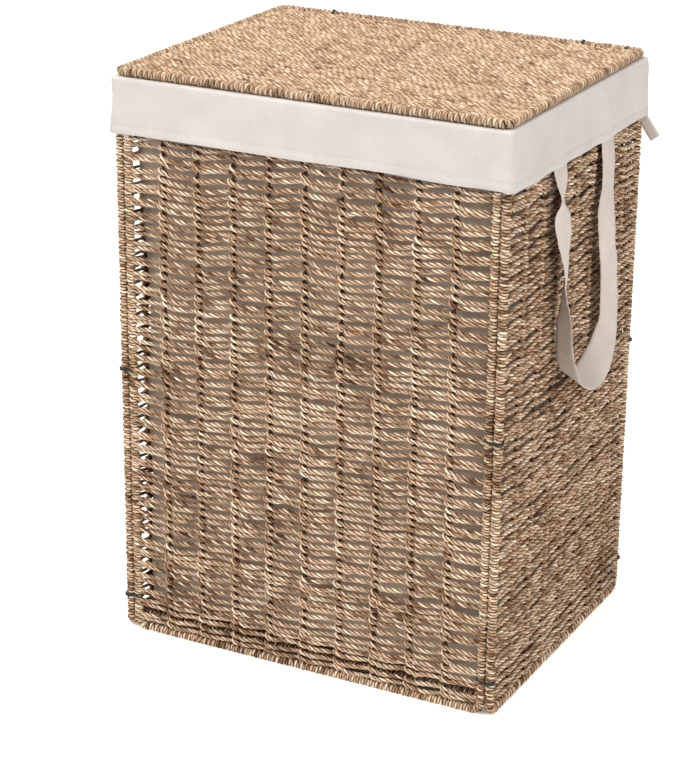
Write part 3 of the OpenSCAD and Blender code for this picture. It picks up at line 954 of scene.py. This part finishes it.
def make_strap(side, material):
    """A handle: soft tape, twisting a little as it hangs; side is 1 right, -1 left."""
    word = "right" if side > 0 else "left"
    joint = next(j for j in frame["joints"] if j["name"] == f"handle_{word}_swing")
    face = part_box("handle_tabs")[1][0] + STRAP_CLEAR
    top = joint["pos_m"][2]
    rows = np.array(STRAP_STATIONS, float)
    centre = np.column_stack([face + rows[:, 2] * MM, rows[:, 0] * MM,
                              top + rows[:, 1] * MM])
    t = unit(np.gradient(centre, axis=0))
    a = np.radians(rows[:, 3])
    out = unit(np.array([1.0, 0, 0]) - t * t[:, :1])
    flat = np.cross(t, out)
    half = (flat * np.cos(a)[:, None] + out * np.sin(a)[:, None]) \
        * (STRAP_W / 2 * rows[:, 4])[:, None]
    stations = np.column_stack([centre, half])
    if side < 0:
        stations[:, [0, 3]] *= -1
    nodes = ["handle_strap_" + word] + (["handle_tabs"] if side > 0 else [])
    obj, length = ribbon(f"handle_{word}_tape", stations, 9, STRAP_THICK, material, None, nodes)
    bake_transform(obj)


def make_tape(side, material):
    """The narrow tape that stands out beside the back corner."""
    word = "right" if side > 0 else "left"
    lo, hi = [np.array(p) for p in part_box("tie_tape_" + word)]
    y = (lo[1] + hi[1]) / 2
    edge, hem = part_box("liner_cuff")[1][0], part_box("liner_cuff")[0][2]
    rows = []
    for f in np.linspace(0, 1, 7):  # from the stitches to the free end
        x = edge - 5 * MM + 20 * MM * f ** 1.1
        z = hem + 5 * MM - 28 * MM * f ** 0.9
        half = np.array([3.6 + 1.1 * f, 1.2 * math.sin(3 * f), 3.9 - 0.2 * f]) * MM
        rows.append([side * x, y + (1.2 - 2.0 * f) * MM, z, side * half[0], half[1], half[2]])
    obj, length = ribbon(f"tie_tape_{word}_cloth", np.array(rows), 5, TAPE_THICK, material,
                         "basket", ["tie_tape_" + word])


# ---------------- ties

def round_wire(paths, r, sides=7):
    """Plain round wires along point lists: verts and faces."""
    verts, faces = [], []
    a = np.linspace(0, 2 * math.pi, sides, endpoint=False)
    for p in paths:
        p = np.array(p, float)
        t = unit(np.gradient(p, axis=0))
        side = np.array([0.37, 0.21, 0.9])
        base = len(verts)
        for i in range(len(p)):
            side = unit(side - t[i] * (side @ t[i]))
            other = np.cross(t[i], side)
            verts += [p[i] + (side * math.cos(x) + other * math.sin(x)) * r for x in a]
        faces += tube_faces(base, len(p), sides)
        faces.append(tuple(range(base + sides - 1, base - 1, -1)))
        faces.append(tuple(range(base + (len(p) - 1) * sides, base + len(p) * sides)))
    return verts, faces


TIE_STEPS = 26  # points in one turn of a tie
TAIL_STEPS = 21
TWISTED = 0.55  # share of a tail that is twisted up with the other one


def tie_paths(a, b, radius, axis, out, turns, rng, tail):
    """Turns of wire round two parallel rims at a and b, twisted up with two tails."""
    a, b, axis, out = [np.array(x, float) for x in (a, b, axis, out)]
    line = unit(b - a)
    gap = np.linalg.norm(b - a)
    pts = []
    for f in np.arange(TIE_STEPS * turns + 1) / TIE_STEPS:
        x = 2 * math.pi * f
        pos = radius * (line * math.cos(x) + out * math.sin(x))
        centre = (a + b) / 2 + line * (gap / 2) * math.tanh(3 * math.cos(x)) / math.tanh(3)
        pts.append(centre + pos + axis * (f - turns / 2) * 1.5 * MM)
    paths = [pts]
    knot = (a + b) / 2 + out * (radius + 0.5 * MM)
    for sign in (-1, 1) if tail else ():
        lean = rng.uniform(-0.5, 0.5)
        pts = []
        for f in np.arange(TAIL_STEPS + 1) / TAIL_STEPS:
            if f < TWISTED:
                x = sign * math.pi / 2 + f * 16
                spin = (line * math.cos(x) + axis * math.sin(x)) * 0.75 * MM
                pts.append(knot + out * f * 5 * MM + spin)
            else:
                g = (f - TWISTED) / (1 - TWISTED)
                away = line * (sign * 0.8 + lean) + out * 0.35 + axis * rng.uniform(-0.1, 0.1)
                pts.append(knot + out * TWISTED * 5 * MM + unit(away) * g * tail)
        paths.append(pts)
    return paths


def wire_object(name, paths, r, material, nodes):
    verts, faces = round_wire(paths, r)
    mesh = plain_mesh(name, verts, faces, material)
    return settle(name, mesh, "basket", nodes)


TIE_HEIGHTS = [40 * MM, 304 * MM, 588 * MM]  # the last one lies beneath the cuff
CUFFED = 0.5  # above this height the cuff hides a tie
SIDE_TIES = 64 * MM
FRONT_TIES = 103 * MM
HINGES = 150 * MM


def corner_ties(front, back, right, left, rng):
    """Two turns round each pair of upright rims; those under the cuff are small."""
    paths = []
    for panel in (front, back):
        for sx, other in ((1, right), (-1, left)):
            for z in TIE_HEIGHTS:
                a = np.array([sx * panel.hu, panel.o[1], z])
                b = np.array([other.o[0], panel.o[1], z])
                r, lean, tail = (3.6, 0.1, 0) if z > CUFFED else (5.4, 0.35, 3.5)
                out = unit(panel.w * 0.9 + other.w * lean)
                paths += tie_paths(a, b, r * MM, (0, 0, 1), out, 2, rng, tail * MM)
    return paths


def floor_ties(front, right, floor_panel, rng):
    """Two wires through each side of the floor; run is 0 at the sides, 1 front and back."""
    paths = []
    z0, z1 = front.o[2] + front.v0, floor_panel.o[2]
    for s in (-1, 1):
        for t in (-1, 1):
            for run, hub, rim, place in (
                    (0, right.o[0], floor_panel.hu, s * SIDE_TIES),
                    (1, front.o[1], floor_panel.v1, s * FRONT_TIES)):
                a, b = [(x, place, z) if run == 0 else (place, x, z)
                        for x, z in ((abs(hub) * t, z0), (rim * t, z1))]
                axis = (0, 1, 0) if run == 0 else (1, 0, 0)
                out = np.cross(unit(np.array(b) - np.array(a)), np.array(axis, float))
                out = out if out[2] > 0 else -out
                paths += tie_paths(a, b, 3.4 * MM, axis, out, 1, rng, 3 * MM)
    return paths


def hinge_ties(back, lid, rng):
    """Loops round the back wall's upper rim and the lid's rear one."""
    paths = []
    for s in (-1, 1):
        top = (s * HINGES, back.o[1], lid.o[2])
        low = (s * HINGES, back.o[1], back.o[2] + back.v1)
        paths += tie_paths(low, top, 5.3 * MM, (1, 0, 0), (0, 1, 0), 2, rng, 2 * MM)
    return paths


def make_ties(walls, floor_panel, lid, material):
    rng = np.random.default_rng(51)
    front, back, right, left = [walls[k] for k in ("front", "back", "right", "left")]
    wire_object("corner_tie_wires", corner_ties(front, back, right, left, rng), 0.75 * MM,
                material, ["corner_ties"])
    wire_object("bottom_tie_wires", floor_ties(front, right, floor_panel, rng), 0.6 * MM,
                material, ["bottom_ties"])
    wire_object("lid_hinge_wires", hinge_ties(back, lid, rng), 0.55 * MM, material,
                ["lid_hinge_loops"])


# ---------------- the basket

def make_wires(material):
    """The CAD's own wire frames stay as they are and get the paint."""
    for name, obj in frame["nodes"].items():
        if name.endswith("_wire_frame"):
            obj.data.materials.clear()
            obj.data.materials.append(material)


def make_weave():
    cord = straw("seagrass_cord", 1.05)
    wrap = straw("seagrass_wrap", 1.05)
    sides = straw("seagrass_side", 0.97, cleft_shade_value=0.28, contrast=0.75)
    top = straw("seagrass_lid", 0.77, warm=-0.48, cleft_shade_value=0.28, patchy=0.04, contrast=0.6)
    walls = {name: Panel(name) for name in ("front", "right", "back", "left")}
    for n, panel in enumerate(walls.values()):
        weave_walls(panel, 100 + n, sides if panel.flip else cord)
        wrap_rim(panel, 200 + n, wrap)
    floor_panel, lid = Panel("bottom"), Panel("lid")
    weave_flat(floor_panel, 301, cord, FLOOR_PITCH, FLOOR_R, 1.5 * MM, 1.0,
               ("front", "back"), FLOOR_STEP)
    wrap_rim(floor_panel, 302, wrap, radius=2.6 * MM, wide=2.6 * MM)
    weave_flat(lid, 303, top, LID_PITCH, LID_R, 0.6 * MM, 1.6,
               ("front", "mid", "back"), STEP)
    wrap_rim(lid, 304, top, thick=2.1 * MM)
    return walls, floor_panel, lid


def make_textiles():
    linen = cloth("liner_cotton", (0.49, 0.455, 0.428))
    # the bag's outer faces lie behind the weave and get painted shade
    shaded = cloth("bag_cotton_shaded_outside", (0.60, 0.555, 0.50), sheen=0.0, outside=(0.90, 0.79, 0.70))
    tape = cloth("tape_cotton", (0.505, 0.442, 0.39), thread=0.0009, gain=0.05)
    thread = cloth("stitch_thread", (0.68, 0.65, 0.61), thread=0.0004)
    make_bag(shaded)
    make_cuff(linen, thread)
    for side in (1, -1):
        make_strap(side, tape)
        make_tape(side, tape)


def main():
    make_camera()
    make_studio()
    bpy.context.scene.view_settings.view_transform = "Standard"
    walls, floor_panel, lid = make_weave()
    make_wires(painted_wire("frame_wire_paint", (0.040, 0.026, 0.016), 0.75))
    make_textiles()
    make_ties(walls, floor_panel, lid, painted_wire("tie_wire_paint", (0.03, 0.036, 0.03), 0.4))


main()
